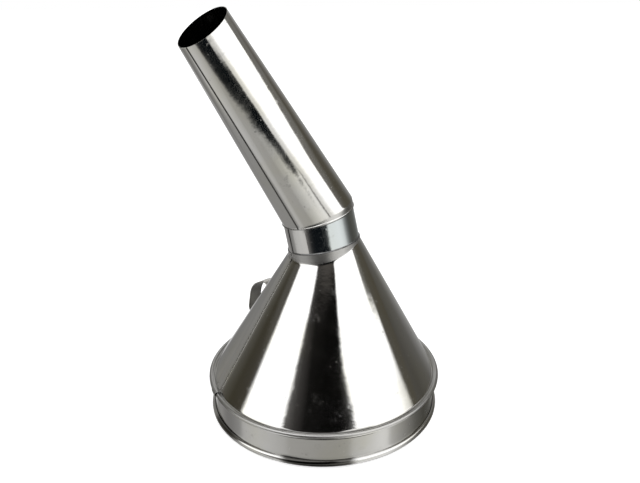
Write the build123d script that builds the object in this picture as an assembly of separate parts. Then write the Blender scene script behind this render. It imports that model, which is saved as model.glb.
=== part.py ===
from build123d import *
import math
import os

# Sheet-metal funnel, standing mouth down.
# Origin: centre of the mouth, on the surface that the foot bead rests on.
# +Z up. The spout bends towards -X. Lengths are in millimetres, angles in degrees.

# ---------------------------------------------------------------- sizes
sheet = 0.5                 # tinplate thickness
lap_width = 7.0             # overlap of each lengthwise seam

# rim band and its wired foot bead
rim_diameter = 200.0        # over the foot bead
bead_diameter = 5.0         # foot bead, over the rolled sheet
wire_clearance = 0.05       # between the wire and the sheet rolled round it
band_recess = 2.8           # how far the band lies inside the bead
curl_slit = 0.3             # gap between the foot curl's end and the band

# ring where the bowl is curled over the band
ring_proud = 1.6            # how far the ring stands out past the foot bead
ring_height = 31.5          # centre of the curl above the rest surface
ring_thickness = 4.4        # curl, over its sheet
ring_tuck = 118.0           # how far round its outside the curl goes, from level
ring_end_gap = 0.8          # between the curl's two ends, at the bowl's seam
hook_clearance = 0.2        # between the bowl's curl and the band's hook in it
hook_foot = 135.0           # how far round its outside the hook leaves the band, from level
hook_end = 100.0            # how far round the hook goes over the top, from level

# bowl
bowl_half_angle = 28.5      # between the bowl's axis and its side
bowl_lean = 1.9             # the bowl's axis leans away from the spout
bowl_lap_at = 201.5         # where its seam is, round the axis from +X

# neck and the bowl's collar round it
# The neck's base lies level with the point of the bowl's axis where the bowl is as wide as the collar.
neck_diameter = 60.6        # outside
neck_lean = 10.9            # from upright, towards the spout
neck_roll = -5.8            # and its tilt to the side
neck_offset = 3.8           # from the bowl's axis to the neck's base, towards the spout
neck_side = 1.8             # and to the side
collar_bend = 14.0          # radius of the bend from the bowl into its collar
collar_reach = 5.6          # the collar's edge above the base, along the neck
neck_inside = 8.0           # how far the neck goes down inside the collar's edge
neck_lap_at = 212.5

# spout
bend_distance = 32.2        # from the neck's base to the bend, along the neck
spout_lean = 28.8           # from upright
spout_half_taper = 2.2      # half angle of the tapered tube
spout_length = 182.8        # from the bend to the outlet, along the spout
sleeve_lean = 14.7          # plane of the sleeve's lower edge, from level
sleeve_roll = -6.1          # and its tilt to the side
sleeve_least = 0.8          # sleeve's shortest length, on the inside of the bend
outlet_lean = 3.9           # outlet's plane, past square to the spout
outlet_roll = 8.4           # and its tilt to the side
hem_height = 1.3            # hem round the sleeve's edge
spout_lap_at = 235.5

# solder
solder_leg = 0.9            # height and width of the soldered fillets

# loop
loop_at = 130.0             # round the axis from +X
strap_width = 12.8
strap_thickness = 1.1
loop_foot_up = 9.0          # lower foot, up the bowl's side from the ring
loop_span = 48.0            # between the feet, along the bowl's side
loop_height = 22.2          # how far the strap's middle stands out from the bowl
loop_tab = 6.0              # length of each foot on the bowl
patch_margin = 1.6          # how far the solder shows round each foot

# ---------------------------------------------------------------- worked out
rim_r = rim_diameter / 2
bead_r = bead_diameter / 2
bead_centre = (rim_r - bead_r, bead_r)
wire_r = bead_r - sheet - wire_clearance
band_r = rim_r - band_recess
ring_r = ring_thickness / 2
ring_centre = (rim_r + ring_proud - ring_r, ring_height)
neck_r = neck_diameter / 2
sleeve_r = neck_r + sheet
far = 4 * rim_diameter      # longer than anything here


def sin(angle):
    return math.sin(math.radians(angle))


def cos(angle):
    return math.cos(math.radians(angle))


def tan(angle):
    return math.tan(math.radians(angle))


def arc_angle(width, radius):
    """Angle that a width covers on a circle."""
    return math.degrees(width / radius)


def leaning(lean, roll=0.0):
    """Unit direction that leans from +Z towards -X, and by the roll towards -Y."""
    return Vector(-sin(lean), -tan(roll), cos(lean)).normalized()


def frame_at(point, direction):
    """Plane whose Z runs along the direction and whose X points away from the spout."""
    return Plane(origin=point, x_dir=Vector(0, 1, 0).cross(direction), z_dir=direction)


def above(point, direction):
    """Block that fills everything on the direction's side of the plane."""
    return frame_at(point, direction) * Box(far, far, far, align=(Align.CENTER, Align.CENTER, Align.MIN))


def frustum(frame, radius, half_angle, low, high):
    """Cone along the frame's Z, with the given radius at its origin, from low to high."""
    bottom = radius - low * tan(half_angle)
    top = radius - high * tan(half_angle)
    solid = Cone(bottom, top, high - low, align=(Align.CENTER, Align.CENTER, Align.MIN))
    return frame * (Pos(0, 0, low) * solid)


def tube(frame, radius, low, high):
    """Solid cylinder along the frame's Z, from low to high."""
    return frame * (Pos(0, 0, low) * Cylinder(radius, high - low, align=(Align.CENTER, Align.CENTER, Align.MIN)))


def on_circle(centre, radius, angle):
    return (centre[0] + radius * cos(angle), centre[1] + radius * sin(angle))


def curl(centre, outer_r, start, end):
    """Section of a sheet rolled round a centre, from one angle to the other."""
    inner_r = outer_r - sheet
    middle = (start + end) / 2
    return make_face([
        ThreePointArc(*[on_circle(centre, outer_r, a) for a in (start, middle, end)]),
        Line(on_circle(centre, outer_r, end), on_circle(centre, inner_r, end)),
        ThreePointArc(*[on_circle(centre, inner_r, a) for a in (end, middle, start)]),
        Line(on_circle(centre, inner_r, start), on_circle(centre, outer_r, start)),
    ])


def turned(section):
    """Section in radius and height, turned round the funnel's axis."""
    return revolve(Plane.XZ * section, Axis.Z, 360)


def lap_section(radius, at):
    """Section of a lap: a full sheet proud at its edge, and down to nothing at the overlap's far side."""
    root = radius - sheet / 2
    start = at - arc_angle(lap_width, radius)
    middle = (start + at) / 2
    centre = (0, 0)
    return make_face([
        ThreePointArc(*[on_circle(centre, root, a) for a in (start, middle, at)]),
        Line(on_circle(centre, root, at), on_circle(centre, radius + sheet, at)),
        ThreePointArc(on_circle(centre, radius + sheet, at),
                      on_circle(centre, radius + 0.72 * sheet, middle),
                      on_circle(centre, radius - sheet / 10, start)),
        Line(on_circle(centre, radius - sheet / 10, start), on_circle(centre, root, start)),
    ])


def lap(frame, radius, half_angle, at, low, high):
    """Lengthwise lap of a tube or cone, along the frame's Z from low to high."""
    sections = [frame * (Pos(0, 0, h) * lap_section(radius - h * tan(half_angle), at)) for h in (low, high)]
    return loft(sections, ruled=True)


# ---------------------------------------------------------------- frames of the leaning pieces
# The bowl's outside comes down to the inner side of the ring's curl. The level section of a
# leaning cone lies off its axis, so the axis is moved until that section is centred.
bowl_r = ring_centre[0] - ring_r + 0.6 * sheet
bowl_apex = bowl_r / tan(bowl_half_angle)
bowl_shift = bowl_apex * cos(bowl_lean) * (
    (tan(bowl_lean + bowl_half_angle) + tan(bowl_lean - bowl_half_angle)) / 2 - tan(bowl_lean))
bowl_frame = frame_at(Vector(bowl_shift, 0, ring_height), leaning(-bowl_lean))

neck_base = bowl_frame.origin + bowl_frame.z_dir * ((bowl_r - sleeve_r) / tan(bowl_half_angle))
neck_frame = frame_at(neck_base + Vector(-neck_offset, neck_side, 0), leaning(neck_lean, neck_roll))
bend_point = neck_frame.origin + neck_frame.z_dir * bend_distance
spout_frame = frame_at(bend_point, leaning(spout_lean))
outlet_point = bend_point + spout_frame.z_dir * spout_length
outlet_axis = leaning(spout_lean + outlet_lean, outlet_roll)


def crease(radius, lower=0.0):
    """Plane where a tube of this radius turns into the tapered one: both touch one sphere at the bend."""
    normal = neck_frame.z_dir + spout_frame.z_dir * (1 / cos(spout_half_taper))
    offset = radius * tan(spout_half_taper) / normal.dot(normal)
    unit = normal.normalized()
    return bend_point + normal * offset - unit * lower, unit


def sleeve_plane():
    """Plane of the sleeve's lower edge: the least sleeve length below the crease's lowest side."""
    centre, normal = crease(sleeve_r)
    inner_side = neck_frame.x_dir * (-sleeve_r)
    drop = (centre - bend_point - inner_side).dot(normal) / neck_frame.z_dir.dot(normal)
    crease_low = bend_point + inner_side + neck_frame.z_dir * drop
    return crease_low - neck_frame.z_dir * sleeve_least, leaning(sleeve_lean, sleeve_roll)


# ---------------------------------------------------------------- rim band and wire
def make_rim_band():
    """Straight band, rolled round the wire below and hooked into the bowl's curl above."""
    hook_r = ring_r - sheet - hook_clearance
    hook_start = -hook_foot
    middle_r = bead_r - sheet / 2
    foot_turn = math.degrees(math.acos((band_r - sheet / 2 - bead_centre[0]) / middle_r))
    curl_end = math.degrees(math.acos((band_r + curl_slit + sheet / 2 - bead_centre[0]) / middle_r))
    wall_low = bead_centre[1] + middle_r * sin(foot_turn)
    hook_out = on_circle(ring_centre, hook_r, hook_start)
    hook_in = on_circle(ring_centre, hook_r - sheet, hook_start)
    bend_height = hook_out[1] - (hook_out[0] - band_r)
    foot = curl(bead_centre, bead_r, foot_turn - 360, curl_end)
    wall = make_face(Polyline(
        (band_r - sheet, wall_low), (band_r, wall_low), (band_r, bend_height), hook_out, hook_in,
        (band_r - sheet, bend_height + 0.4 * sheet), close=True))
    hook = curl(ring_centre, hook_r, hook_start, hook_end)
    return turned(foot + wall + hook)


def make_rim_wire():
    return turned(Pos(*bead_centre) * Circle(wire_r))


# ---------------------------------------------------------------- bowl
def bowl_envelope(inset):
    """Solid inside of the bowl and its collar, as far in as the inset."""
    cone_r = bowl_r - inset / cos(bowl_half_angle)
    top = (cone_r - neck_r / 2) / tan(bowl_half_angle)
    cone = frustum(bowl_frame, cone_r, bowl_half_angle, -ring_thickness, top)
    collar = tube(neck_frame, sleeve_r - inset, -neck_r / 3, 2 * neck_r)
    body = cone + collar
    joint = [e for e in body.edges() if e.geom_type not in (GeomType.LINE, GeomType.CIRCLE)]
    return fillet(joint, collar_bend + inset)


def collar_edge():
    return neck_frame.origin + neck_frame.z_dir * collar_reach, neck_frame.z_dir


def make_bowl():
    """Cone with its collar, its lap seam, and its lower edge curled over the band."""
    seam_top = (bowl_r - 1.12 * sleeve_r) / tan(bowl_half_angle)
    seam = lap(bowl_frame, bowl_r, bowl_half_angle, bowl_lap_at, 0, seam_top)
    shell = bowl_envelope(0) - bowl_envelope(sheet) + seam
    shell = shell - above(*collar_edge()) - above(Vector(0, 0, ring_height), Vector(0, 0, -1))
    # the curl runs from the foot of the cone over the hook and back in under it
    ring = turned(curl(ring_centre, ring_r, -ring_tuck, 180))
    gap = Rot(0, 0, bowl_lap_at) * (Pos(ring_centre[0] + ring_thickness / 3, 0, ring_height) * Box(
        ring_thickness, ring_end_gap, 2 * ring_thickness, align=(Align.CENTER, Align.MAX, Align.CENTER)))
    return shell + (ring - gap)


# ---------------------------------------------------------------- neck and spout
def make_neck():
    low = collar_reach - neck_inside
    high = 2 * bend_distance
    shell = tube(neck_frame, neck_r, low, high) - tube(neck_frame, neck_r - sheet, low, high)
    seam_low = collar_reach + solder_leg
    point, normal = sleeve_plane()
    seam = lap(neck_frame, neck_r, 0, neck_lap_at, seam_low, high) - above(point - normal * solder_leg, normal)
    return (shell + seam) - above(*crease(neck_r, sheet))


def spout_envelope(inset):
    """Solid inside of the sleeve and the tapered tube, as far in as the inset."""
    radius = sleeve_r - inset
    over_crease = above(*crease(radius))
    sleeve = tube(neck_frame, radius, 0, 2 * bend_distance) - over_crease
    taper = frustum(spout_frame, radius / cos(spout_half_taper), spout_half_taper,
                    -bend_distance, spout_length + sleeve_r)
    return sleeve + (taper & over_crease)


def make_spout():
    """Tapered tube, its lap seam, and the sleeve bent round onto the neck with its hem."""
    point, normal = sleeve_plane()
    seam = lap(spout_frame, sleeve_r / cos(spout_half_taper), spout_half_taper, spout_lap_at,
               -bend_distance, spout_length + sleeve_r) & above(*crease(sleeve_r))
    hem = tube(neck_frame, sleeve_r + sheet, 0, 2 * bend_distance) - tube(neck_frame, neck_r, 0, 2 * bend_distance)
    hem = (hem & above(point, normal)) - above(point + normal * hem_height, normal) - above(*crease(neck_r, sheet))
    shell = spout_envelope(0) - spout_envelope(sheet) + seam
    shell = (shell & above(point, normal)) - above(outlet_point, outlet_axis)
    return shell + hem


# ---------------------------------------------------------------- solder on the neck
def solder_ring(point, normal, width):
    """Fillet of solder round the neck, on the direction's side of the plane."""
    ring = frame_at(point, normal) * Cylinder(2 * neck_r, solder_leg, align=(Align.CENTER, Align.CENTER, Align.MIN))
    ring = ring & tube(neck_frame, neck_r + width, -far / 2, far / 2)
    outer = [e for e in ring.edges() if e.geom_type != GeomType.LINE]
    outer = sorted(outer, key=lambda e: e.center().dot(normal))[-1:]
    ring = chamfer(outer, 0.6 * min(solder_leg, width))
    return ring - tube(neck_frame, neck_r, -far / 2, far / 2)


def make_neck_solder():
    return solder_ring(*collar_edge(), sheet + 0.4 * solder_leg)


def make_spout_solder():
    point, normal = sleeve_plane()
    return solder_ring(point, normal * -1, sheet)


# ---------------------------------------------------------------- loop
def loop_frame():
    """Plane along the bowl's side: X up the side from the ring, Y straight out of it."""
    flat = Plane(bowl_frame.location * Rot(0, 0, loop_at))
    up_side = flat.x_dir * (-sin(bowl_half_angle)) + flat.z_dir * cos(bowl_half_angle)
    across = up_side.cross(flat.x_dir * cos(bowl_half_angle) + flat.z_dir * sin(bowl_half_angle))
    return Plane(origin=flat.origin + flat.x_dir * bowl_r, x_dir=up_side, z_dir=across)


def make_loop():
    """Strap bent into a loop, with both feet lying on the bowl."""
    half = strap_thickness / 2
    low = loop_foot_up
    high = loop_foot_up + loop_span
    # corners of the bent strap's middle line, as parts of the span and the height
    corners = [(0.06, 0.66), (0.61, 1.09), (1.0, 0.58)]
    middle_line = FilletPolyline(
        (low - loop_tab, half), (low, half),
        *[(low + a * loop_span, b * loop_height) for a, b in corners],
        (high, half), (high + loop_tab, half),
        radius=[1.2 * strap_thickness, loop_height / 3, loop_height, loop_height / 4, 1.2 * strap_thickness])
    strap = make_face(middle_line.offset_2d(half, side=Side.BOTH))
    return loop_frame() * extrude(strap, strap_width / 2, both=True)


def make_loop_solder(loop, bowl_outside):
    """Solder under and round both feet."""
    patches = []
    for middle in (loop_foot_up - loop_tab / 2, loop_foot_up + loop_span + loop_tab / 2):
        block = Box(loop_tab + 2 * patch_margin, 2 * strap_thickness, strap_width + 2 * patch_margin)
        block = fillet(block.edges().filter_by(Axis.Y), patch_margin)
        top = block.faces().sort_by(Axis.Y)[-1].edges()
        block = chamfer(top, strap_thickness / 2)
        patches.append(loop_frame() * (Pos(middle, -strap_thickness / 3, 0) * block))
    return (patches[0] + patches[1]) - loop - bowl_outside


# ---------------------------------------------------------------- build
os.makedirs("parts", exist_ok=True)

loop = make_loop()
nodes = {
    "rim_band": make_rim_band(),
    "rim_wire": make_rim_wire(),
    "bowl": make_bowl(),
    "neck": make_neck(),
    "spout": make_spout(),
    "neck_solder": make_neck_solder(),
    "spout_solder": make_spout_solder(),
    "loop": loop,
    "loop_solder": make_loop_solder(loop, bowl_envelope(0)),
}

for name, shape in nodes.items():
    shape.label = name
    export_step(shape, f"parts/{name}.step")
    box = shape.bounding_box()
    print(f"{name:14s} solids {len(shape.solids())}  volume {shape.volume:10.1f}  valid {shape.is_valid}  "
          f"x {box.min.X:.1f}..{box.max.X:.1f}  y {box.min.Y:.1f}..{box.max.Y:.1f}  z {box.min.Z:.1f}..{box.max.Z:.1f}")
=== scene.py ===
import math

import bmesh
import bpy
from mathutils import Matrix, Vector, noise


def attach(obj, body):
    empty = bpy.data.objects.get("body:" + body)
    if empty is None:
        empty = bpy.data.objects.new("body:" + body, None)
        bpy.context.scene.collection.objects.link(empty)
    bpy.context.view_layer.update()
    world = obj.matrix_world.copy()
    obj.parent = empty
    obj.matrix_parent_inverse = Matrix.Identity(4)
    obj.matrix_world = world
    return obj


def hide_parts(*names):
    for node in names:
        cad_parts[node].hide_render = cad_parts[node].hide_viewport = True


# A tinplate funnel standing mouth down: a cone bowl on a straight rim band, a short neck,
# a long tapered spout and a strap loop. Shapes are worked out in millimetres and degrees.

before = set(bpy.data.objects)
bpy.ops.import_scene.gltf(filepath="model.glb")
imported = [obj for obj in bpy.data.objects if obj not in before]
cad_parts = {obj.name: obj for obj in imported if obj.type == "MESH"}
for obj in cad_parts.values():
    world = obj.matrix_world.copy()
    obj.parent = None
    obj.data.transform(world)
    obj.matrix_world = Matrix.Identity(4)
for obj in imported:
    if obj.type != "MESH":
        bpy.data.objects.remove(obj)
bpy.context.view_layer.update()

MM = 0.001

# ---------------------------------------------------------------- sizes
SHEET = 0.5
LAP = 7.0
# how far a lapped sheet rises over the one under it
LAP_LIFT = 1.08 * SHEET

BEAD_R = 2.5
# the wrap stands up to the closing line, so the bead is a little taller than it is wide
BEAD_TALLER = 1.26
BEAD_CENTRE = (97.5, 2.5)
BAND_R = 97.2
CURL_SLIT = 0.3
RING_R = 2.2
RING_CENTRE = (99.4, 31.5)
RING_TUCK = 118.0
HOOK_R = 1.5

BOWL_R = RING_CENTRE[0] - RING_R + 0.6 * SHEET
BOWL_SLOPE = 28.5
BOWL_LEAN = 1.9
BOWL_SEAM = 201.5

NECK_R = 30.3
SLEEVE_R = NECK_R + SHEET
COLLAR_BEND = 7.0
COLLAR_REACH = 4.9
NECK_INSIDE = 8.0
NECK_SEAM = 212.5
NECK_SHIFT = (-3.8, 1.1, 0)
NECK_LEAN, NECK_ROLL = 10.9, -8.8

BEND_DISTANCE = 32.7
SPOUT_LEAN = 28.8
SPOUT_TAPER = 2.2
SPOUT_LENGTH = 181.9
SPOUT_SEAM = 238.8
SEAM_DRIFT = 8.4
SLEEVE_LEAST = 0.8
# how the cut ends of the spout lean and roll
OUTLET_CUT = (SPOUT_LEAN + 3.9, 8.4)
SLEEVE_CUT = (14.7, -6.1)

LOOP_AT = 130.0
STRAP_WIDTH = 12.8
STRAP = 1.1
LOOP_FOOT = 9.0
LOOP_SPAN = 48.0
LOOP_HEIGHT = 22.2
LOOP_TAB = 6.0


def sin(angle):
    return math.sin(math.radians(angle))


def cos(angle):
    return math.cos(math.radians(angle))


def tan(angle):
    return math.tan(math.radians(angle))


def clamp(value, low=0.0, high=1.0):
    return max(low, min(high, value))


def ease(value, start, end):
    """0 up to start, 1 from end, and smooth between them."""
    t = clamp((value - start) / (end - start))
    return t * t * (3 - 2 * t)


def stretch(value, start, end, blur=3.0):
    """1 from start to end and 0 outside them, with soft ends."""
    return ease(value, start - blur, start + blur) * (1 - ease(value, end - blur, end + blur))


def round_axis(place):
    """Compass angle of a place about the bowl's mouth, from 0 to 360."""
    return math.degrees(math.atan2(place.y, place.x)) % 360


def leaning(lean, roll=0.0):
    """Direction that leans from +Z towards -X, and by the roll towards -Y."""
    return Vector((-sin(lean), -tan(roll), cos(lean))).normalized()


class Seat:
    """Axes that a round piece is laid out on: z along it, x away from the spout's side."""

    def __init__(self, origin, direction):
        self.origin = Vector(origin)
        self.z = direction.normalized()
        self.x = Vector((0, 1, 0)).cross(self.z).normalized()
        self.y = self.z.cross(self.x)

    def out(self, angle):
        return self.x * cos(angle) + self.y * sin(angle)

    def at(self, radius, angle, height):
        return self.origin + self.z * height + self.out(angle) * radius

    def away(self, point):
        """From the axis to the point, square to the axis."""
        return point - self.origin - self.z * (point - self.origin).dot(self.z)


def to_plane(point, direction, plane):
    """How far along the direction the plane is."""
    origin, normal = plane
    return (origin - point).dot(normal) / direction.dot(normal)


def to_tube(point, direction, seat, radius):
    """How far along the direction the line first meets a tube round the seat's axis."""
    across = direction - seat.z * direction.dot(seat.z)
    start = point - seat.origin
    start -= seat.z * start.dot(seat.z)
    a, b, c = across.dot(across), across.dot(start), start.dot(start) - radius * radius
    return (-b - math.sqrt(max(b * b - a * c, 0.0))) / a


# ---------------------------------------------------------------- where the leaning pieces are
bowl_apex = BOWL_R / tan(BOWL_SLOPE)
# the cone leans, and is moved aside so that its foot stays round the middle of the ring
bowl_shift = bowl_apex * cos(BOWL_LEAN) * (
    (tan(BOWL_LEAN + BOWL_SLOPE) + tan(BOWL_LEAN - BOWL_SLOPE)) / 2 - tan(BOWL_LEAN))
bowl_seat = Seat((bowl_shift, 0, RING_CENTRE[1]), leaning(-BOWL_LEAN))
neck_base = bowl_seat.origin + bowl_seat.z * ((BOWL_R - SLEEVE_R) / tan(BOWL_SLOPE))
neck_seat = Seat(neck_base + Vector(NECK_SHIFT), leaning(NECK_LEAN, NECK_ROLL))
bend_point = neck_seat.origin + neck_seat.z * BEND_DISTANCE
spout_seat = Seat(bend_point, leaning(SPOUT_LEAN))
outlet_plane = (bend_point + spout_seat.z * SPOUT_LENGTH, leaning(*OUTLET_CUT))
collar_plane = (neck_seat.origin + neck_seat.z * COLLAR_REACH, neck_seat.z)


def crease_plane(radius):
    """Plane where the sleeve's tube turns into the tapered spout."""
    normal = neck_seat.z + spout_seat.z * (1 / cos(SPOUT_TAPER))
    origin = bend_point + normal * (radius * tan(SPOUT_TAPER) / normal.dot(normal))
    return origin, normal.normalized()


def sleeve_edge_plane():
    """Plane of the sleeve's lower edge, set by how short the sleeve is inside the bend."""
    inner = bend_point - neck_seat.x * SLEEVE_R
    drop = to_plane(inner, neck_seat.z, crease_plane(SLEEVE_R))
    return inner + neck_seat.z * (drop - SLEEVE_LEAST), leaning(*SLEEVE_CUT)


sleeve_plane = sleeve_edge_plane()


# ---------------------------------------------------------------- making sheet pieces
def finish(bm, name, material, replaced, sharp=38):
    """Turns the worked shape into a piece of the object, in metres."""
    bmesh.ops.recalc_face_normals(bm, faces=bm.faces)
    bmesh.ops.scale(bm, vec=(MM, MM, MM), verts=bm.verts)
    limit = math.radians(sharp)
    for edge in bm.edges:
        edge.smooth = len(edge.link_faces) == 2 and edge.calc_face_angle(0.0) < limit
    for face in bm.faces:
        face.smooth = True
    mesh = bpy.data.meshes.new(name)
    bm.to_mesh(mesh)
    bm.free()
    piece = bpy.data.objects.new(name, mesh)
    bpy.context.scene.collection.objects.link(piece)
    mesh.materials.append(material)
    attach(piece, "root")
    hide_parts(*replaced)


def grid(columns, rows):
    """Flat grid with a UV map, and a table from column and row to its vertex."""
    bm = bmesh.new()
    bm.loops.layers.uv.new("UVMap")
    for mark in ("dulled", "from_seam", "grime"):
        bm.verts.layers.float.new(mark)
    bmesh.ops.create_grid(bm, x_segments=columns, y_segments=rows, size=1, calc_uvs=True)
    table = {}
    for vert in bm.verts:
        table[round((vert.co.x + 1) / 2 * columns), round((vert.co.y + 1) / 2 * rows)] = vert
    return bm, table


def lay(lines, raised, outward, waves, dulled, girth, grime=lambda i, j: 0.0):
    """Sheet whose columns follow the lines, lifted along its outward side and slightly uneven.

    Its vertices carry how dulled the skin is, how much dirt and painted shade darken it, and how
    far they are from the lap's outer edge. The waves are the sizes and lengths of its unevenness."""
    columns, rows = len(lines) - 1, len(lines[0]) - 1
    bm, table = grid(columns, rows)
    dull_mark = bm.verts.layers.float["dulled"]
    seam_mark = bm.verts.layers.float["from_seam"]
    dirt_and_shade_mark = bm.verts.layers.float["grime"]
    for i, line in enumerate(lines):
        for j, point in enumerate(line):
            along = (line[min(j + 1, rows)] - line[max(j - 1, 0)]).normalized()
            side = outward(i, j)
            side = (side - along * side.dot(along)).normalized()
            uneven = sum(size * noise.noise(point / length) for size, length in waves)
            vert = table[i, j]
            vert.co = point + side * (raised(i, j) + uneven)
            vert[dull_mark] = dulled(i, j)
            vert[seam_mark] = from_seam(i, girth(j))
            vert[dirt_and_shade_mark] = grime(i, j)
    return bm


def thicken(bm, thickness, inside=lambda place, added: added):
    """Gives the sheet its thickness, behind its faces, and marks its inner side.

    Unless the caller says otherwise, the side that is added is the inner one."""
    inner_mark = bm.verts.layers.float.new("inner")
    laid = set(bm.verts)
    bmesh.ops.solidify(bm, geom=bm.faces[:], thickness=thickness)
    for vert in bm.verts:
        vert[inner_mark] = float(inside(vert.co, vert not in laid))


def turn_faces(bm, way):
    """Turns an open sheet so that on the whole its faces look the way given for their places."""
    bm.normal_update()
    total = 0.0
    for face in bm.faces:
        total += way(face.calc_center_median()).dot(face.normal) * face.calc_area()
    if total < 0:
        bmesh.ops.reverse_faces(bm, faces=bm.faces)
        bm.normal_update()


def bent(start, corner, end, steps):
    """Points along a smooth bend from start to end round the corner."""
    points = []
    for k in range(steps + 1):
        t = k / steps
        points.append(start * (1 - t) ** 2 + corner * (2 * t * (1 - t)) + end * t * t)
    return points


# columns of a lapped sheet: the first ones lie close together where its outer edge rests on the lap
EDGE_COLUMNS = 20
COLUMNS = 300
EDGE_REACH = LAP + 6.0


def unrolled(i, radius):
    """Angle from the sheet's outer edge to column i."""
    first = math.degrees(EDGE_REACH / radius)
    if i <= EDGE_COLUMNS:
        return first * i / EDGE_COLUMNS
    whole = 360 + math.degrees(LAP / radius)
    return first + (whole - first) * (i - EDGE_COLUMNS) / (COLUMNS - EDGE_COLUMNS)


def from_seam(i, radius):
    """Distance of column i from the lap's outer edge, below zero on the sheet under it."""
    turned = unrolled(i, radius)
    return math.radians(turned if i <= COLUMNS // 2 else turned - 360) * radius


def on_lap(i):
    """How far column i is lifted by the sheet under it."""
    return LAP_LIFT * (1 - ease(EDGE_REACH * i / EDGE_COLUMNS, LAP - 0.5, LAP + 5.5))


# ---------------------------------------------------------------- materials
class Value:
    """A number or colour in a material that takes part in ordinary arithmetic."""

    def __init__(self, nodes, socket):
        self.nodes = nodes
        self.socket = socket

    def maths(self, operation, *values):
        sockets = {index: value for index, value in enumerate(values)}
        return self.nodes.make("Math", {"operation": operation}, sockets)

    def __add__(self, other):
        return self.maths("ADD", self, other)

    def __sub__(self, other):
        return self.maths("SUBTRACT", self, other)

    def __mul__(self, other):
        return self.maths("MULTIPLY", self, other)

    def __truediv__(self, other):
        return self.maths("DIVIDE", self, other)

    def __rsub__(self, other):
        return self.maths("SUBTRACT", other, self)

    def __rtruediv__(self, other):
        return self.maths("DIVIDE", other, self)

    def __abs__(self):
        return self.maths("ABSOLUTE", self)

    __radd__ = __add__
    __rmul__ = __mul__


class Nodes:
    """The nodes of a material or of the world."""

    def __init__(self, owner):
        owner.use_nodes = True
        self.tree = owner.node_tree
        self.tree.nodes.clear()

    def make(self, kind, settings=None, sockets=None, output=0):
        node = self.tree.nodes.new("ShaderNode" + kind)
        for name, value in (settings or {}).items():
            if name == "stops":
                ramp = node.color_ramp
                while len(ramp.elements) < len(value):
                    ramp.elements.new(0.5)
                for element, (place, colour) in zip(ramp.elements, value):
                    element.position = place
                    element.color = (*colour, 1)
            else:
                setattr(node, name, value)
        for name, value in (sockets or {}).items():
            if isinstance(value, Value):
                self.tree.links.new(value.socket, node.inputs[name])
            else:
                node.inputs[name].default_value = value
        return Value(self, node.outputs[output]) if node.outputs else None

    def make_all(self, kind, sockets=None):
        first = self.make(kind, None, sockets)
        return [Value(self, output) for output in first.socket.node.outputs]

    def curve(self, value, points):
        """Straight runs through the points, as a value of another."""
        first, last = points[0][0], points[-1][0]
        low, high = min(p[1] for p in points), max(p[1] for p in points)
        stops = [((place - first) / (last - first), ((level - low) / (high - low),) * 3)
                 for place, level in points]
        share = (value - first) / (last - first)
        return self.make("ValToRGB", {"stops": stops}, {"Fac": share}) * (high - low) + low

    def around(self, turned, stops):
        """Colours round the compass, for a value that runs from 0 to 1 over its 360 degrees."""
        stops = [(angle / 360, colour) for angle, colour in stops]
        return self.make("ValToRGB", {"stops": stops}, {"Fac": turned})

    def step(self, value, middle, width, low=0.0, high=1.0):
        """Smooth step from low to high round the middle."""
        return self.make("MapRange", {"interpolation_type": "SMOOTHSTEP"}, {
            "Value": value, "From Min": middle - width / 2, "From Max": middle + width / 2,
            "To Min": low, "To Max": high})

    def mixed(self, factor, a, b):
        return self.make("Mix", {"data_type": "RGBA"}, {0: factor, 6: a, 7: b}, output=2)

    def noise(self, place, scale, detail, roughness):
        return self.make("TexNoise", None, {
            "Vector": place, "Scale": scale, "Detail": detail, "Roughness": roughness})

    def mapped(self, place, scale, rotation):
        return self.make("Mapping", None, {"Vector": place, "Scale": scale, "Rotation": rotation})


def marked(nodes, name):
    """A mark that the piece's vertices carry, or zero where they carry none."""
    return nodes.make("Attribute", {"attribute_name": name}, output="Fac")


def coordinates(nodes, name="Object"):
    return nodes.make("TexCoord", output=name)


def scaled(colour, red, green, blue):
    """The colour with each of its parts scaled, as a socket takes it."""
    return colour[0] * red, colour[1] * green, colour[2] * blue, 1


def metal(nodes, shade, roughness, height, relief):
    """Bare metal with a fine relief, as the material's surface."""
    bump = nodes.make("Bump", None, {"Height": height, "Strength": relief, "Distance": MM})
    surface = nodes.make("BsdfPrincipled", None, {
        "Base Color": shade, "Metallic": 1.0, "Roughness": roughness, "Normal": bump})
    nodes.make("OutputMaterial", None, {"Surface": surface})


# colour of dirt and of painted shade
SHADE_AND_DIRT_COLOUR = (0.08, 0.077, 0.072, 1)


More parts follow.
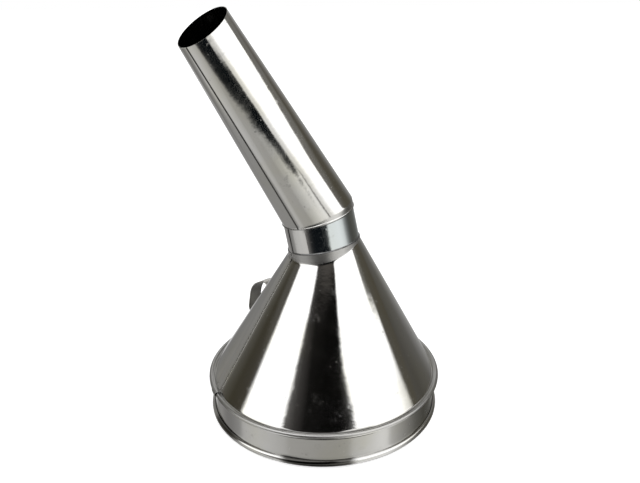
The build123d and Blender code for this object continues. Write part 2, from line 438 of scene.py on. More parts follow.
def tinplate(name, tone, rough, seam=0.0, seam_light=0.0, blue_reflection=0.0):
    """Bright tinned sheet: clear reflections, faint clouds, smears, pinholes and rubbed scratches.

    It is dull where heat or rolling marked it, and darkened by painted shade on its inner side and
    by dirt and painted shade where its pieces mark them. A seam has a painted shadow line under the
    lap's edge or a dulled one on it, and on the neck a cool tint away from the spout is a painted
    reflection of the bluish room."""
    material = bpy.data.materials.new(name)
    nodes = Nodes(material)
    place = coordinates(nodes)
    across = nodes.make_all("SeparateXYZ", {"Vector": place})[0]
    dulled = marked(nodes, "dulled")
    inner = nodes.step(marked(nodes, "inner"), 0.9, 0.2)
    # the inner side is painted dark, as painted shade inside the sheet
    grime = marked(nodes, "grime") + 0.8 * inner
    beside = marked(nodes, "from_seam")

    cloud = nodes.noise(place, 38, 4, 0.6)
    smear = nodes.step(nodes.noise(place, 75, 6, 0.68), 0.63, 0.07)
    aged = nodes.step(nodes.noise(place, 20, 3, 0.6), 0.54, 0.22)
    grain = nodes.noise(place, 900, 3, 0.6)
    rub = nodes.noise(nodes.mapped(place, (1, 1, 0.06), (0.3, 0.2, 0.1)), 1500, 2, 0.6)
    streaks = nodes.noise(nodes.mapped(place, (1, 0.10, 1), (0.4, 0.9, 0.5)), 330, 2, 0.5)
    scratch = nodes.step(streaks, 0.735, 0.02)
    pores = nodes.make("TexVoronoi", None, {"Vector": place, "Scale": 150}, output="Distance")
    specks = nodes.step(pores, 0.085, 0.05, 1.0, 0.0) * nodes.step(cloud, 0.52, 0.08)
    # painted shadow: a dark line on the sheet just under the lap's outer edge, where the edge's
    # shadow falls
    line = nodes.step(beside, -1.15, 0.25) * nodes.step(beside, -0.1, 0.25, 1.0, 0.0) * seam
    shine_line = nodes.step(beside, 0.05, 0.15) * nodes.step(beside, 1.0, 0.25, 1.0, 0.0)
    shine_line = shine_line * seam_light

    # painted reflection: a cool tint on the neck's side away from the spout, for the bluish room
    # that it mirrors
    blue_tint = blue_reflection * nodes.step(across, -0.009, 0.008)
    bare = nodes.mixed(aged * (1.0 - blue_reflection), (*tone, 1), scaled(tone, 0.975, 0.968, 0.92))
    bare = nodes.mixed(blue_tint, bare, scaled(tone, 0.93, 1, 1.035))
    worn = nodes.mixed(specks * 0.5 + smear * 0.18 + dulled * 0.75, bare,
                       scaled(tone, 0.62, 0.62, 0.62))
    # darkened where the vertices mark dirt and painted shade, and on the inner side
    darkened = nodes.mixed(grime, worn, SHADE_AND_DIRT_COLOUR)
    shade = nodes.mixed(line, darkened, scaled(tone, 0.10, 0.10, 0.10))
    roughness = (rough + 0.03 * nodes.step(cloud, 0.52, 0.25) + 0.03 * nodes.step(rub, 0.6, 0.2)
                 + 0.12 * specks + 0.10 * smear + 0.16 * scratch + 0.34 * dulled
                 + 0.3 * line + 0.5 * shine_line + 0.03 * inner)
    height = grain * 0.12 + rub * 0.12 + cloud * 2.0 - specks * 0.5 + scratch * 0.4
    metal(nodes, shade, roughness, height, 0.035)
    return material


def solder(name, tone):
    """Soft solder: duller and greyer than the sheet, with an uneven skin."""
    material = bpy.data.materials.new(name)
    nodes = Nodes(material)
    place = coordinates(nodes)
    lumps = nodes.noise(place, 240, 3, 0.6)
    skin = nodes.noise(place, 1400, 3, 0.6)
    low_tone = 0.64 * tone
    shade = nodes.mixed(nodes.step(lumps, 0.5, 0.3), (low_tone, low_tone, low_tone, 1),
                        (tone, tone, tone, 1))
    metal(nodes, shade, 0.25 + 0.2 * lumps, lumps * 3.0 + skin, 0.2)
    return material


def wire_steel(name):
    """Drawn wire inside the foot bead."""
    material = bpy.data.materials.new(name)
    nodes = Nodes(material)
    drawn = nodes.noise(coordinates(nodes), 700, 3, 0.5)
    shade = nodes.mixed(drawn, (0.33, 0.32, 0.31, 1), (0.5, 0.49, 0.48, 1))
    metal(nodes, shade, 0.35 + 0.15 * drawn, drawn, 0.1)
    return material


BRIGHT = (0.79, 0.785, 0.77)
bowl_tin = tinplate("bowl_tinplate", BRIGHT, 0.05, seam=0.2, seam_light=0.5)
spout_tin = tinplate("spout_tinplate", BRIGHT, 0.055, seam=1.0)
neck_tin = tinplate("neck_tinplate", BRIGHT, 0.06, seam=0.9, blue_reflection=1.0)
band_tin = tinplate("band_tinplate", (0.76, 0.755, 0.74), 0.10)
loop_tin = tinplate("loop_tinplate", (0.60, 0.59, 0.565), 0.26)
soft_solder = solder("soft_solder", 0.66)
smoked_solder = solder("smoked_solder", 0.27)
bead_wire = wire_steel("bead_wire")


# where shade is painted in the fold above the ring and on the band just under the ring, by compass
# angle
FRONT_SHADE = (247, 295)
# where the collar is darkest, by the angle about the neck
COLLAR_DARKEST = (256, 277)
# stretches of the bead painted dark as painted shade, for the shaded table close in front that they
# mirror: compass angles and how dark
BEAD_SHADE_STRETCHES = ((199, 218, 0.6), (249, 284, 0.92))

# ---------------------------------------------------------------- bowl
COLLAR_ROWS, BEND_ROWS, CONE_ROWS, FOOT_ROWS, CURL_ROWS = 4, 8, 30, 5, 32
CONE_STARTS = COLLAR_ROWS + BEND_ROWS
FOOT_STARTS = CONE_STARTS + CONE_ROWS
CURL_STARTS = FOOT_STARTS + FOOT_ROWS
FOOT_BEND = 0.9
# how far the sheet under the lap is pinched where the ring closes over it
PINCH = 0.7
# rows down the cone, close together beside its two bends
CONE_SHARES = [0.008] + [k / (CONE_ROWS - 2) for k in range(1, CONE_ROWS - 2)] + [0.992, 1.0]


def bowl_line(angle):
    """A line up the cone: its start, its direction, the corner where it meets the neck's tube,
    and how far from the corner its bend into the collar reaches."""
    start = bowl_seat.at(BOWL_R, angle, 0)
    up = (bowl_seat.z - bowl_seat.out(angle) * tan(BOWL_SLOPE)).normalized()
    corner = start + up * to_tube(start, up, neck_seat, SLEEVE_R)
    turn = math.acos(clamp(up.dot(neck_seat.z), -1, 1))
    return start, up, corner, COLLAR_BEND * math.tan(turn / 2)


def foot_bend(angle):
    """The bend where the cone turns out into the ring: its centre, where it leaves the cone and
    where it lands on the ring, in radius and height."""
    start, up, _, _ = bowl_line(angle)
    high = start + up * 12
    p = Vector((math.hypot(start.x, start.y), start.z))
    q = Vector((math.hypot(high.x, high.y), high.z))
    d = (q - p).normalized()
    normal = Vector((d.y, -d.x))
    if normal.x < 0:
        normal = -normal
    # the centre is one bend radius off the cone's line, and outside the ring
    ring = Vector(RING_CENTRE)
    base = p + normal * FOOT_BEND - ring
    b, c = base.dot(d), base.dot(base) - (RING_R + FOOT_BEND) ** 2
    t = -b + math.sqrt(max(b * b - c, 0.0))
    centre = ring + base + d * t
    land = ring + (centre - ring) * (RING_R / (RING_R + FOOT_BEND))
    return centre, centre - normal * FOOT_BEND, land


def flat_angle(v):
    return math.degrees(math.atan2(v.y, v.x))


def bowl_column(i):
    """Points of one column, from the collar's edge down over the ring and under it."""
    _, up, corner, reach = bowl_line(BOWL_SEAM - unrolled(i, SLEEVE_R))
    high = corner + neck_seat.z * reach
    low = corner - up * reach
    edge_gap = max(to_plane(high, neck_seat.z, collar_plane), 0.2)
    points = [high + neck_seat.z * (edge_gap * (1 - k / COLLAR_ROWS)) for k in range(COLLAR_ROWS)]
    points += bent(high, corner, low, BEND_ROWS)
    centre, leave, land = foot_bend(BOWL_SEAM - unrolled(i, BOWL_R))
    for share in CONE_SHARES:
        radius = SLEEVE_R + (BOWL_R - SLEEVE_R) * share
        start, up, corner, reach = bowl_line(BOWL_SEAM - unrolled(i, radius))
        top = (corner - start).length - reach
        bottom = (leave.y - start.z) / up.z
        points.append(start + up * (top + (bottom - top) * share))
    foot = points[-1]
    compass = math.atan2(foot.y, foot.x)
    outward = Vector((math.cos(compass), math.sin(compass), 0))

    def ring_point(centre, radius, angle):
        height = centre[1] + radius * sin(angle)
        return outward * (centre[0] + radius * cos(angle)) + Vector((0, 0, height))

    first, last = flat_angle(leave - centre), flat_angle(land - centre)
    last += 360 if last < first - 180 else 0
    for k in range(1, FOOT_ROWS + 1):
        points.append(ring_point(centre, FOOT_BEND, first + (last - first) * k / FOOT_ROWS))
    first = flat_angle(land - Vector(RING_CENTRE))
    for k in range(1, CURL_ROWS + 1):
        points.append(ring_point(RING_CENTRE, RING_R, first + (-RING_TUCK - first) * k / CURL_ROWS))
    return points


def make_bowl():
    lines = [bowl_column(i) for i in range(COLUMNS + 1)]

    def outward(i, j):
        if j >= CURL_STARTS:
            point = lines[i][j]
            flat = Vector((point.x, point.y, 0)).normalized()
            return point - flat * RING_CENTRE[0] - Vector((0, 0, RING_CENTRE[1]))
        angle = BOWL_SEAM - unrolled(i, BOWL_R)
        return bowl_seat.out(angle) + bowl_seat.z * 0.3

    def collar_part(j):
        return 1 - ease(j - COLLAR_ROWS, 3, 7)

    def ring_top(j):
        return 1 - ease(j - CURL_STARTS, 15, 18)

    def dulled(i, j):
        if j <= CONE_STARTS:
            return collar_part(j)
        # the ring is worn on top and bright underneath
        return 0.85 * (ring_top(j) if j > CURL_STARTS else clamp(j - FOOT_STARTS))

    def girth(j):
        if j <= CONE_STARTS:
            return SLEEVE_R
        share = CONE_SHARES[min(j - CONE_STARTS, CONE_ROWS) - 1]
        return SLEEVE_R + (BOWL_R - SLEEVE_R) * share

    def raised(i, j):
        pinch = rolled = tucked = 0.0
        if i > COLUMNS // 2 and j > FOOT_STARTS:
            pinch = PINCH * (1 - ease(-from_seam(i, BOWL_R), 1, 12))
        if i == 0 and CONE_STARTS < j <= FOOT_STARTS:
            rolled = 0.2
        if j > CURL_STARTS:
            tucked = 0.07
        return on_lap(i) - rolled - pinch - tucked

    def grime(i, j):
        place = lines[i][j]
        if j <= CONE_STARTS:
            # the collar is darker on its front, with faint blotches
            front_dark = 0.45 * stretch(round_axis(place - neck_seat.origin), *COLLAR_DARKEST, blur=9)
            blotch = 0.10 * noise.noise(place / 5)
            return clamp(front_dark + 0.05 + blotch) * collar_part(j)
        if j < FOOT_STARTS:
            return 0.0
        # painted shade in the fold above the ring, on its front only, and the ring's top a little
        # darker
        fold = 0.75 * stretch(round_axis(place), *FRONT_SHADE) * (1 - ease(j - CURL_STARTS, 0, 4))
        return max(fold, 0.2 * ring_top(j))

    bm = lay(lines, raised, outward, [(0.10, 45), (0.03, 16)], dulled, girth, grime)
    # judged on the cone alone, above the ring
    turn_faces(bm, lambda p: Vector((p.x, p.y, 0)) * (p.z > 34))
    thicken(bm, SHEET)
    finish(bm, "bowl_sheet", bowl_tin, ["bowl"])


# ---------------------------------------------------------------- neck
NECK_ROWS = 16


def make_neck():
    """Tube from inside the bowl's collar up into the spout's sleeve."""
    low = COLLAR_REACH - NECK_INSIDE
    plane = crease_plane(NECK_R)
    lines = []
    for i in range(COLUMNS + 1):
        angle = NECK_SEAM - unrolled(i, NECK_R)
        foot = neck_seat.at(NECK_R, angle, low)
        reach = to_plane(foot, neck_seat.z, plane) - 1.2 * SHEET
        lines.append([foot + neck_seat.z * (reach * k / NECK_ROWS) for k in range(NECK_ROWS + 1)])
    bm = lay(lines, lambda i, j: on_lap(i) - 0.04, lambda i, j: lines[i][j] - neck_seat.origin,
             [(0.05, 22)], lambda i, j: 0.0, lambda j: NECK_R)
    turn_faces(bm, neck_seat.away)
    thicken(bm, SHEET)
    finish(bm, "neck_sheet", neck_tin, ["neck"])


# ---------------------------------------------------------------- spout
HEM_ROWS, SLEEVE_ROWS, CREASE_ROWS, SPOUT_ROWS = 8, 4, 6, 44
CREASE_ENDS = HEM_ROWS + SLEEVE_ROWS + CREASE_ROWS
HEM_HEIGHT = 1.5
HEM_PROUD = 0.5
CREASE_REACH = 1.0
# rows up the spout, the first close above the crease
SPOUT_SHARES = [0.008] + [k / (SPOUT_ROWS - 1) for k in range(1, SPOUT_ROWS)]


def spout_seam(height):
    """Where the spout's lap is at a height above the bend: it drifts a little on its way up."""
    return SPOUT_SEAM - SEAM_DRIFT * clamp(height / SPOUT_LENGTH) ** 2


def spout_line(angle):
    """A line up the spout: its start at the bend's height, and its direction."""
    radius = SLEEVE_R / cos(SPOUT_TAPER)
    start = spout_seat.at(radius, angle, 0)
    return start, (spout_seat.z - spout_seat.out(angle) * tan(SPOUT_TAPER)).normalized()


def spout_column(i):
    """Points of one column, from the hem up the sleeve, over the crease and to the outlet."""
    angle = spout_seam(0) - unrolled(i, SLEEVE_R)
    start, up = spout_line(angle)
    corner = start + up * to_plane(start, up, crease_plane(SLEEVE_R))
    drop = -to_plane(corner, neck_seat.z, sleeve_plane)
    bend = min(CREASE_REACH, 0.35 * drop)
    hem = min(HEM_HEIGHT, 0.45 * drop)
    edge = corner - neck_seat.z * drop
    points = [edge + neck_seat.z * (hem * k / HEM_ROWS) for k in range(HEM_ROWS)]
    straight = drop - bend - hem
    points += [edge + neck_seat.z * (hem + straight * k / SLEEVE_ROWS) for k in range(SLEEVE_ROWS)]
    points += bent(corner - neck_seat.z * bend, corner, corner + up * bend, CREASE_ROWS)
    for share in SPOUT_SHARES:
        height = SPOUT_LENGTH * share
        radius = SLEEVE_R - height * tan(SPOUT_TAPER)
        angle = spout_seam(height) - unrolled(i, radius)
        start, up = spout_line(angle)
        first = to_plane(start, up, crease_plane(SLEEVE_R)) + bend
        last = to_plane(start, up, outlet_plane)
        points.append(start + up * (first + (last - first) * share))
    return points


def make_spout():
    lines = [spout_column(i) for i in range(COLUMNS + 1)]

    def raised(i, j):
        # the hem is rolled: round on its upper side, and turned in at its lower edge
        t = j / HEM_ROWS
        hem = HEM_PROUD * math.sin(math.pi * clamp(0.12 + t * 0.88)) if t < 1 else 0.0
        return on_lap(i) + hem

    def outward(i, j):
        middle = neck_seat if j < HEM_ROWS + SLEEVE_ROWS + CREASE_ROWS // 2 else spout_seat
        return middle.away(lines[i][j])

    def dulled(i, j):
        if j <= HEM_ROWS + SLEEVE_ROWS:
            return 0.4
        return 0.6 * clamp((CREASE_ENDS - j) / (CREASE_ROWS - 1))

    def girth(j):
        share = SPOUT_SHARES[j - CREASE_ENDS - 1] if j > CREASE_ENDS else 0.0
        return SLEEVE_R - SPOUT_LENGTH * tan(SPOUT_TAPER) * share

    bm = lay(lines, raised, outward, [(0.07, 30), (0.02, 12)], dulled, girth)
    turn_faces(bm, spout_seat.away)
    thicken(bm, SHEET)
    finish(bm, "spout_sheet", spout_tin, ["spout"])


# ---------------------------------------------------------------- rim band
def arc_points(centre, radius, start, end, steps):
    return [(centre[0] + radius * cos(start + (end - start) * k / steps),
             centre[1] + radius * sin(start + (end - start) * k / steps)) for k in range(steps + 1)]


# steps right round the pieces that are turned
TURN_STEPS = 288
BEAD_STEPS, BAND_ROWS, HOOK_STEPS = 40, 9, 20
# the band's plain part ends here, and the last rows below the hook stand close together
BAND_TOP = 25.2
HOOK_ROWS = (26.8, 27.3, 27.9, 28.9)
HOOK_FROM, HOOK_TO = -135, 100


def make_band():
    """Band rolled round the wire below and hooked into the ring above, turned all the way round."""
    middle = BEAD_R - SHEET / 2
    leave = math.degrees(math.acos((BAND_R - SHEET / 2 - BEAD_CENTRE[0]) / middle))
    close = math.degrees(math.acos((BAND_R + CURL_SLIT + SHEET / 2 - BEAD_CENTRE[0]) / middle))
    section = arc_points(BEAD_CENTRE, BEAD_R, close, leave - 360, BEAD_STEPS)
    section = [(r, z * BEAD_TALLER) for r, z in section]
    foot_z = section[-1][1]
    section += [(BAND_R - SHEET, foot_z + 1 + (BAND_TOP - foot_z) * k / BAND_ROWS)
                for k in range(BAND_ROWS + 1)]
    section += [(BAND_R - SHEET, z) for z in HOOK_ROWS]
    section += arc_points(RING_CENTRE, HOOK_R - SHEET, HOOK_FROM, HOOK_TO, HOOK_STEPS)
    bm = bmesh.new()
    bm.loops.layers.uv.new("UVMap")
    dirt_and_shade_mark = bm.verts.layers.float.new("grime")
    verts = [bm.verts.new((r, 0, z)) for r, z in section]
    edges = [bm.edges.new(pair) for pair in zip(verts, verts[1:])]
    bmesh.ops.spin(bm, geom=verts + edges, cent=(0, 0, 0), axis=(0, 0, 1), dvec=(0, 0, 0),
                   angle=math.tau, steps=TURN_STEPS, use_merge=True)
    for vert in bm.verts:
        flat = Vector((vert.co.x, vert.co.y, 0))
        vert.co += flat.normalized() * (0.10 * noise.noise(vert.co / 40))
    for vert in bm.verts:
        z = vert.co.z
        compass = round_axis(vert.co)
        bead = 1 - ease(z, 6.6, 7.4)
        # painted shade: the bead's front stretches are darkened for the shaded table just in front
        # that they mirror
        bead_shade = bead * max(dark * stretch(compass, start, end) for start, end, dark in BEAD_SHADE_STRETCHES)
        # painted shade in the crease above the bead, on the band's front just under the ring, and
        # all round where the band runs up under the ring
        joint = 0.22 * ease(z, 5.0, 5.6) * bead
        front = stretch(compass, *FRONT_SHADE) * ease(z, 26.3, 26.9)
        vert[dirt_and_shade_mark] = clamp(joint + bead_shade + front + 0.3 * ease(z, 27.0, 27.9))
    # the section is the band's inner side, so its faces look in and its thickness goes outwards;
    # judged between the bead and the hook
    turn_faces(bm, lambda p: Vector((-p.x, -p.y, 0)) * (6 < p.z < 28))
    # its inner side above the bead is marked so that it is painted dark, as painted shade inside
    # the band
    thicken(bm, SHEET, lambda place, added: not added and place.z > 8)
    finish(bm, "band_sheet", band_tin, ["rim_band"])


# ---------------------------------------------------------------- solder on the neck
def solder_line(name, replaced, plane, up, width, height):
    """Uneven fillet of solder round the neck, on the upper or lower side of a sheet's edge."""
    section = [(-0.25, -0.25), (width, -0.25), (width, 0.06), (0.62 * width, 0.16 * height),
               (0.3 * width, 0.45 * height), (0.1 * width, height), (-0.25, height)]
    bm, table = grid(TURN_STEPS, len(section))
    for (i, j), vert in table.items():
        out, rise = section[j % len(section)]
        angle = 360 * i / TURN_STEPS
        foot = neck_seat.at(NECK_R, angle, 0)
        foot += neck_seat.z * to_plane(foot, neck_seat.z, plane)
        lump = 1 + 0.3 * noise.noise(foot / 9)
        scale = lump if out > 0 else 1
        vert.co = foot + neck_seat.out(angle) * (out * scale) + neck_seat.z * (up * rise * scale)
    bmesh.ops.remove_doubles(bm, verts=bm.verts, dist=0.001)
    finish(bm, name, smoked_solder, [replaced], sharp=60)


# ---------------------------------------------------------------- loop
class Side:
    """Axes on the bowl's side under the loop: up the side from the ring, out of it and across."""

    def __init__(self):
        self.origin = bowl_seat.at(BOWL_R, LOOP_AT, 0)
        flat = bowl_seat.out(LOOP_AT)
        self.up = flat * -sin(BOWL_SLOPE) + bowl_seat.z * cos(BOWL_SLOPE)
        self.out = flat * cos(BOWL_SLOPE) + bowl_seat.z * sin(BOWL_SLOPE)
        self.across = self.up.cross(self.out)

    def at(self, up, out, across):
        return self.origin + self.up * up + self.out * out + self.across * across


side = Side()


def rounded(corners, radii, steps=8):
    """Points of a line through the corners, each rounded by its radius."""
    points = [corners[0]]
    for before, corner, after, radius in zip(corners, corners[1:], corners[2:], radii):
        d_in, d_out = (corner - before).normalized(), (after - corner).normalized()
        turn = d_in.angle(d_out)
        reach = radius * math.tan(turn / 2)
        centre = corner + (d_out - d_in).normalized() * (radius / math.cos(turn / 2))
        start = corner - d_in * reach - centre
        sign = 1 if d_in.cross(d_out) > 0 else -1
        for k in range(steps + 1):
            a = sign * turn * k / steps
            points.append(centre + Vector((start.x * math.cos(a) - start.y * math.sin(a),
                                           start.x * math.sin(a) + start.y * math.cos(a))))
    return points + [corners[-1]]


def make_loop():
    """Strap bent out from one foot and back to the other, laid along its middle line."""
    half = STRAP / 2
    low, high = LOOP_FOOT, LOOP_FOOT + LOOP_SPAN
    corners = [Vector((low - LOOP_TAB, half)), Vector((low, half)),
               Vector((low + 0.06 * LOOP_SPAN, 0.66 * LOOP_HEIGHT)),
               Vector((low + 0.61 * LOOP_SPAN, 1.09 * LOOP_HEIGHT)),
               Vector((low + LOOP_SPAN, 0.58 * LOOP_HEIGHT)),
               Vector((high, half)), Vector((high + LOOP_TAB, half))]
    radii = [1.2 * STRAP, LOOP_HEIGHT / 3, LOOP_HEIGHT, LOOP_HEIGHT / 4, 1.2 * STRAP]
    middle = rounded(corners, radii)
    columns = 12
    bm, table = grid(columns, len(middle) - 1)
    for (i, j), vert in table.items():
        across = STRAP_WIDTH * (i / columns - 0.5)
        here = middle[j]
        after, before = middle[min(j + 1, len(middle) - 1)], middle[max(j - 1, 0)]
        along = (after - before).normalized()
        vert.co = side.at(here.x - along.y * half, here.y + along.x * half, across)
    turn_faces(bm, lambda p: side.out)
    thicken(bm, STRAP)
    corner = math.radians(60)
    rim = [e for e in bm.edges if len(e.link_faces) == 2 and e.calc_face_angle(0.0) > corner]
    bmesh.ops.bevel(bm, geom=rim, offset=0.3, segments=2, profile=0.5, affect="EDGES", material=-1)
    finish(bm, "loop_strap", loop_tin, ["loop"])


# thickness, height and reach past the strap of the solder patches
PATCH = 0.35
PATCH_HEIGHT = 0.75
PATCH_PAST = 1.6


def make_loop_solder():
    """Solder that has run out round both feet of the strap."""
    bm = bmesh.new()
    bm.loops.layers.uv.new("UVMap")
    for middle in (LOOP_FOOT - LOOP_TAB / 2, LOOP_FOOT + LOOP_SPAN + LOOP_TAB / 2):
        made = bmesh.ops.create_grid(bm, x_segments=36, y_segments=24, size=1, calc_uvs=True)
        for vert in made["verts"]:
            u, w = vert.co.x, vert.co.y
            # squarish patch that thins out to nothing at its edge
            edge = (abs(u) ** 4 + abs(w) ** 4) ** 0.25
            across = u * (STRAP_WIDTH / 2 + PATCH_PAST)
            up = middle + w * (LOOP_TAB / 2 + PATCH_PAST)
            spread = 1 + 0.06 * noise.noise(Vector((u * 2, w * 2, middle)))
            # the bowl falls away to both sides of the strap
            sink = across * across / (2 * (BOWL_R - up * sin(BOWL_SLOPE)) / cos(BOWL_SLOPE))
            height = PATCH_HEIGHT * (1 - ease(edge, 0.62, 1.0)) - 0.15
            vert.co = side.at(middle + (up - middle) * spread, height - sink, across * spread)
    turn_faces(bm, lambda p: side.out)
    thicken(bm, PATCH)
    finish(bm, "loop_solder_patches", soft_solder, ["loop_solder"], sharp=60)


make_bowl()
make_neck()
make_spout()
make_band()
solder_line("neck_solder_line", "neck_solder", collar_plane, 1, SHEET + 0.3, 0.9)
solder_line("spout_solder_line", "spout_solder", sleeve_plane, -1, SHEET + 0.1, 0.8)
make_loop()
make_loop_solder()
wire_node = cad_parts["rim_wire"]
wire_node.data.materials.clear()
wire_node.data.materials.append(bead_wire)


# ---------------------------------------------------------------- table, light and camera
TABLE_HALF = (1.1, 0.9, 1)
TABLE_MIDDLE = (0, 0.35, 0)


def make_table():
    """Pale table that keeps the funnel's shadow. The metal mirrors the studio's table instead."""
    bm = bmesh.new()
    bmesh.ops.create_grid(bm, x_segments=1, y_segments=1, size=1)
    bmesh.ops.scale(bm, vec=TABLE_HALF, verts=bm.verts)
    bmesh.ops.translate(bm, vec=TABLE_MIDDLE, verts=bm.verts)
    mesh = bpy.data.meshes.new("table")
    bm.to_mesh(mesh)
    bm.free()
    table = bpy.data.objects.new("table", mesh)
    bpy.context.scene.collection.objects.link(table)
    table.visible_glossy = False
    material = bpy.data.materials.new("table_white")
    nodes = Nodes(material)
    seen = nodes.make("LightPath", output="Is Camera Ray")
    paper = nodes.make("BsdfDiffuse", None, {"Color": (0.9, 0.9, 0.9, 1)})
    glow = nodes.make("Emission", None, {"Color": (1, 1, 1, 1), "Strength": 0.5 * seen})
    both = nodes.make("AddShader", None, {0: paper, 1: glow})
    nodes.make("OutputMaterial", None, {"Surface": both})
    mesh.materials.append(material)


DEGREES = 57.29578

# colours of what the metal mirrors, round the compass: 180 is straight behind the camera, and the
# angles grow towards the right
ROOM = [
    (0, (1.1, 1.1, 1.1)), (15, (0.6, 0.6, 0.59)), (25, (0.28, 0.28, 0.27)),
    (55, (0.24, 0.235, 0.225)), (62, (0.10, 0.095, 0.08)), (75, (0.05, 0.045, 0.032)),
    (92, (0.055, 0.05, 0.04)), (138, (0.14, 0.135, 0.13)), (149, (0.045, 0.042, 0.04)),
    (160, (0.006, 0.0057, 0.0053)), (180, (0.0015, 0.0015, 0.0013)), (197, (0.002, 0.0019, 0.0017)),
    (206, (0.02, 0.019, 0.018)), (275, (0.095, 0.088, 0.072)), (293, (0.082, 0.074, 0.056)),
    (308, (0.09, 0.083, 0.067)), (330, (0.2, 0.19, 0.18)), (340, (0.4, 0.4, 0.39)),
    (348, (0.9, 0.9, 0.9)), (360, (1.1, 1.1, 1.1))]
FAR_TABLE = [
    (0, (0.5, 0.5, 0.5)), (12, (0.35, 0.35, 0.35)), (21, (0.2, 0.198, 0.195)),
    (35, (0.22, 0.218, 0.21)), (44, (0.25, 0.245, 0.235)), (53, (0.16, 0.155, 0.14)),
    (62, (0.10, 0.095, 0.08)), (80, (0.07, 0.065, 0.055)), (98, (0.40, 0.395, 0.385)),
    (113, (0.64, 0.635, 0.62)), (135, (0.60, 0.59, 0.575)), (148, (0.43, 0.425, 0.41)),
    (165, (0.42, 0.415, 0.395)), (178, (0.50, 0.495, 0.47)), (190, (0.64, 0.635, 0.60)),
    (200, (0.81, 0.80, 0.76)), (210, (0.90, 0.895, 0.86)), (240, (0.94, 0.935, 0.92)),
    (250, (0.85, 0.845, 0.83)), (256, (0.74, 0.735, 0.72)), (264, (0.35, 0.347, 0.34)),
    (272, (0.16, 0.157, 0.15)), (281, (0.085, 0.082, 0.075)), (292, (0.08, 0.076, 0.066)),
    (302, (0.10, 0.096, 0.085)), (315, (0.12, 0.116, 0.107)), (326, (0.19, 0.187, 0.18)),
    (345, (0.35, 0.35, 0.34)), (360, (0.5, 0.5, 0.5))]
NEAR_TABLE = [
    (0, (0.7, 0.7, 0.7)), (18, (0.6, 0.6, 0.6)), (30, (0.25, 0.248, 0.245)),
    (42, (0.29, 0.285, 0.28)), (56, (0.21, 0.205, 0.2)), (66, (0.22, 0.217, 0.212)),
    (80, (0.30, 0.296, 0.29)), (86, (0.50, 0.495, 0.485)), (104, (0.585, 0.58, 0.57)),
    (118, (0.56, 0.555, 0.545)), (138, (0.47, 0.465, 0.45)), (143, (0.40, 0.393, 0.375)),
    (178, (0.37, 0.365, 0.345)), (192, (0.37, 0.365, 0.345)), (205, (0.40, 0.395, 0.375)),
    (210, (0.55, 0.545, 0.525)), (226, (0.66, 0.655, 0.63)), (242, (0.80, 0.795, 0.78)),
    (249, (0.78, 0.775, 0.76)), (254, (0.50, 0.495, 0.485)), (266, (0.36, 0.357, 0.35)),
    (280, (0.22, 0.217, 0.21)), (292, (0.12, 0.118, 0.11)), (308, (0.07, 0.068, 0.06)),
    (325, (0.10, 0.098, 0.09)), (338, (0.2, 0.198, 0.19)), (350, (0.5, 0.5, 0.49)),
    (360, (0.7, 0.7, 0.7))]
UNDER_RIM = [
    (0, (0.7, 0.7, 0.7)), (20, (0.5, 0.5, 0.5)), (40, (0.3, 0.3, 0.3)), (66, (0.3, 0.298, 0.29)),
    (86, (0.6, 0.6, 0.59)), (97, (0.87, 0.87, 0.86)), (132, (0.87, 0.87, 0.86)),
    (144, (0.12, 0.118, 0.11)), (160, (0.02, 0.02, 0.018)), (190, (0.02, 0.02, 0.018)),
    (203, (0.12, 0.118, 0.11)), (211, (0.45, 0.44, 0.43)), (220, (0.95, 0.95, 0.94)),
    (256, (0.97, 0.97, 0.96)), (270, (0.8, 0.8, 0.79)), (284, (0.7, 0.7, 0.69)),
    (300, (0.45, 0.45, 0.44)), (322, (0.3, 0.3, 0.29)), (345, (0.5, 0.5, 0.5)),
    (360, (0.7, 0.7, 0.7))]
PALE_WALL = (0.24, 0.235, 0.225, 1)
OVERHEAD = (0.085, 0.078, 0.071, 1)
LOW_SHADE = (0.0045, 0.0068, 0.009, 1)
TABLE_SHADE = (0.29, 0.287, 0.28, 1)
BOX_FOOT, BOX = (0.82, 0.81, 0.78, 1), (1.6, 1.6, 1.6, 1)

# edges in the same view: compass angles from -180 to 180 against heights in degrees
RIM_EDGE = [(-180, -52), (-42, -52), (-34, -43), (100, -43), (120, -50), (180, -52)]
TABLE_EDGE = [
    (-180, -8), (-80, -8), (-58, -13), (-47, -19), (-40, -28), (-30, -27), (-20, -24), (-10, -20),
    (0, -15.5), (5, -13), (10, -11.5), (14, -9.7), (20, -7.5), (24, -5.8), (27, -4), (30, -2),
    (32, -1), (180, -1)]
BOX_LOWER_EDGE = [(0, -9), (8, -5.5), (17, -1.5), (28, -1), (40, 0.5), (60, -2), (180, -2)]
# the right box's two upright edges: heights against compass angles
BOX_INNER_EDGE = [(-10, 7), (0, 7), (8, 20), (14, 34), (18, 31), (20, 27), (22, 23.5), (24, 20),
                  (27, 17.2), (30, 14.5)]
BOX_OUTER_EDGE = [(-10, 94), (7, 94), (10, 86), (12, 84), (14, 89), (15, 95), (16, 104), (18, 112),
                  (30, 100)]


def mirrored_table(nodes, turned, compass, height):
    """The pale table, its shaded part, and what lies under the rim of the bowl."""
    near, far = nodes.around(turned, NEAR_TABLE), nodes.around(turned, FAR_TABLE)
    table = nodes.mixed(nodes.step(height, -24.5, 4.5), near, far)
    shaded = nodes.step(height, -42, 3, 1, 0) * nodes.step(abs(compass + 95), 38, 14, 1, 0)
    table = nodes.mixed(shaded, table, TABLE_SHADE)
    rim_edge = nodes.curve(compass, RIM_EDGE)
    under_rim = nodes.around(turned, UNDER_RIM)
    return nodes.mixed(nodes.step(height - rim_edge, 0, 3), under_rim, table)


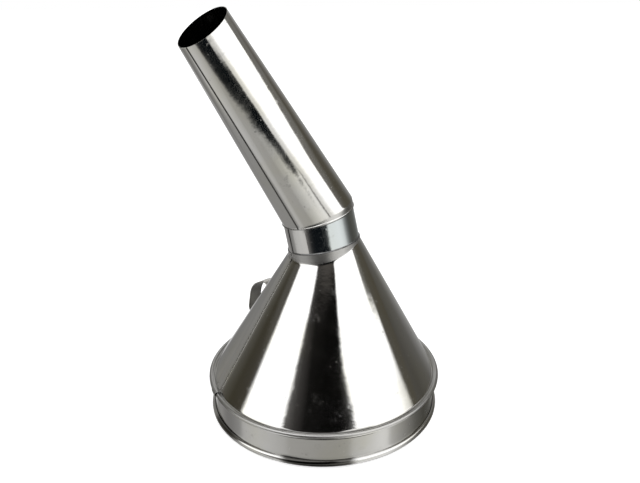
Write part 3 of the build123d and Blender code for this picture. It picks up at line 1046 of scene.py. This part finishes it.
def mirrored_room(nodes, turned, compass, height):
    """The dark room: paler high up at the sides, grey overhead, darkest low behind the camera."""
    sides = 0.6 * nodes.step(compass, 80, 8) + 0.2 * nodes.step(compass, -80, 8, 1, 0)
    room = nodes.mixed(nodes.step(height, 10, 4) * sides, nodes.around(turned, ROOM), PALE_WALL)
    overhead = nodes.step(height, 28, 2.4) * nodes.step(abs(compass), 40, 10, 1, 0)
    room = nodes.mixed(overhead, room, OVERHEAD)
    low = 0.6 * nodes.step(height, -2, 3, 1, 0) * nodes.step(abs(compass), 36, 20, 1, 0)
    return nodes.mixed(low, room, LOW_SHADE)


def soft_boxes(nodes, compass, height):
    """Where the two soft boxes are, as 1 inside them."""
    left = nodes.step(compass, -86, 6) * nodes.step(compass - height, -61.2, 4.5, 1, 0)
    inner_edge = nodes.curve(height, BOX_INNER_EDGE)
    outer_edge = nodes.curve(height, BOX_OUTER_EDGE)
    right = nodes.step(compass - inner_edge, 0, 4) * nodes.step(compass - outer_edge, 0, 6, 1, 0)
    lower_edge = nodes.curve(compass, BOX_LOWER_EDGE)
    return left + right * nodes.step(height - lower_edge, 0, 1.5)


def make_studio():
    """What the metal mirrors: two soft boxes beside the camera, a dark room between and beside
    them, a white wall behind, and the pale table below."""
    world = bpy.data.worlds.new("studio")
    bpy.context.scene.world = world
    nodes = Nodes(world)
    x, y, z = nodes.make_all("SeparateXYZ", {"Vector": coordinates(nodes, "Generated")})
    compass = x.maths("ARCTAN2", x, 0.0 - y) * DEGREES
    height = z.maths("ARCSINE", z) * DEGREES
    turned = compass / 360 + 0.5

    glow = nodes.mixed(nodes.step(height, 5, 6), BOX_FOOT, BOX)
    above = nodes.mixed(soft_boxes(nodes, compass, height),
                        mirrored_room(nodes, turned, compass, height), glow)
    table_edge = nodes.curve(compass, TABLE_EDGE)
    view = nodes.mixed(nodes.step(height - table_edge, 0, 2),
                       mirrored_table(nodes, turned, compass, height), above)

    glossy = nodes.make("LightPath", output="Is Glossy Ray")
    shine = nodes.mixed(glossy, (1, 1, 1, 1), view)
    plain = nodes.make("Background", None, {"Color": shine, "Strength": 1.0})
    nodes.make("OutputWorld", None, {"Surface": plain})


LENS, SENSOR = 67.5, 36
CAMERA_PLACE = (-0.002064, -0.899572, 0.622077)
CAMERA_AHEAD = (0, 0.88956, -0.45681)
CAMERA_RIGHT = (0.99994698, -0.00470389, -0.00916003)


def make_camera():
    lens = bpy.data.cameras.new("camera")
    lens.lens = LENS
    lens.sensor_width = SENSOR
    lens.sensor_fit = "HORIZONTAL"
    camera = bpy.data.objects.new("camera", lens)
    bpy.context.scene.collection.objects.link(camera)
    ahead = Vector(CAMERA_AHEAD).normalized()
    up = Vector(CAMERA_RIGHT).cross(ahead).normalized()
    right = ahead.cross(up).normalized()
    matrix = Matrix((right, up, -ahead)).transposed().to_4x4()
    matrix.translation = Vector(CAMERA_PLACE)
    camera.matrix_world = matrix
    bpy.context.scene.camera = camera


make_table()
make_studio()
make_camera()
bpy.context.scene.view_settings.view_transform = "Standard"
